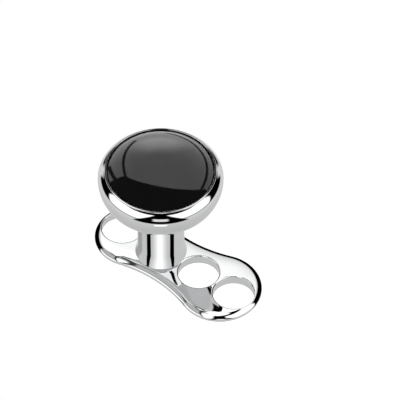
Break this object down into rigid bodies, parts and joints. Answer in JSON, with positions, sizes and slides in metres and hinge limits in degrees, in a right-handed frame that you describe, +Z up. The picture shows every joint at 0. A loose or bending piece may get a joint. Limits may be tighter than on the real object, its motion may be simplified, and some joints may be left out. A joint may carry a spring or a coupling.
{
  "type": "dermal anchor",
  "caption": "Skin anchor stud: a long oval foot plate with round tissue holes, a hollow post, and a screw-in round bezel top with a domed black stone.",
  "frame": {"origin": "the post's axis where it meets the flat underside of the foot plate", "axes": "+Z up the post towards the stone; +X along the foot plate to its end with two holes"},
  "size_m": [0.0065, 0.0042, 0.0052],
  "materials": {
    "polished_steel": "mirror-polished surgical steel, plate and post",
    "bezel_steel": "mirror-polished surgical steel, bezel and threaded stem",
    "black_stone": "polished black opaque cabochon"
  },
  "bodies": {
    "anchor": {"anchor_base": "polished_steel"},
    "top": {"bezel_top": "bezel_steel", "cabochon": "black_stone"}
  },
  "joints": [
    {"name": "top_lift", "type": "slide", "parent": "anchor", "child": "top", "axis": [0, 0, 1], "range_m": [0, 0.0033]}
  ]
}
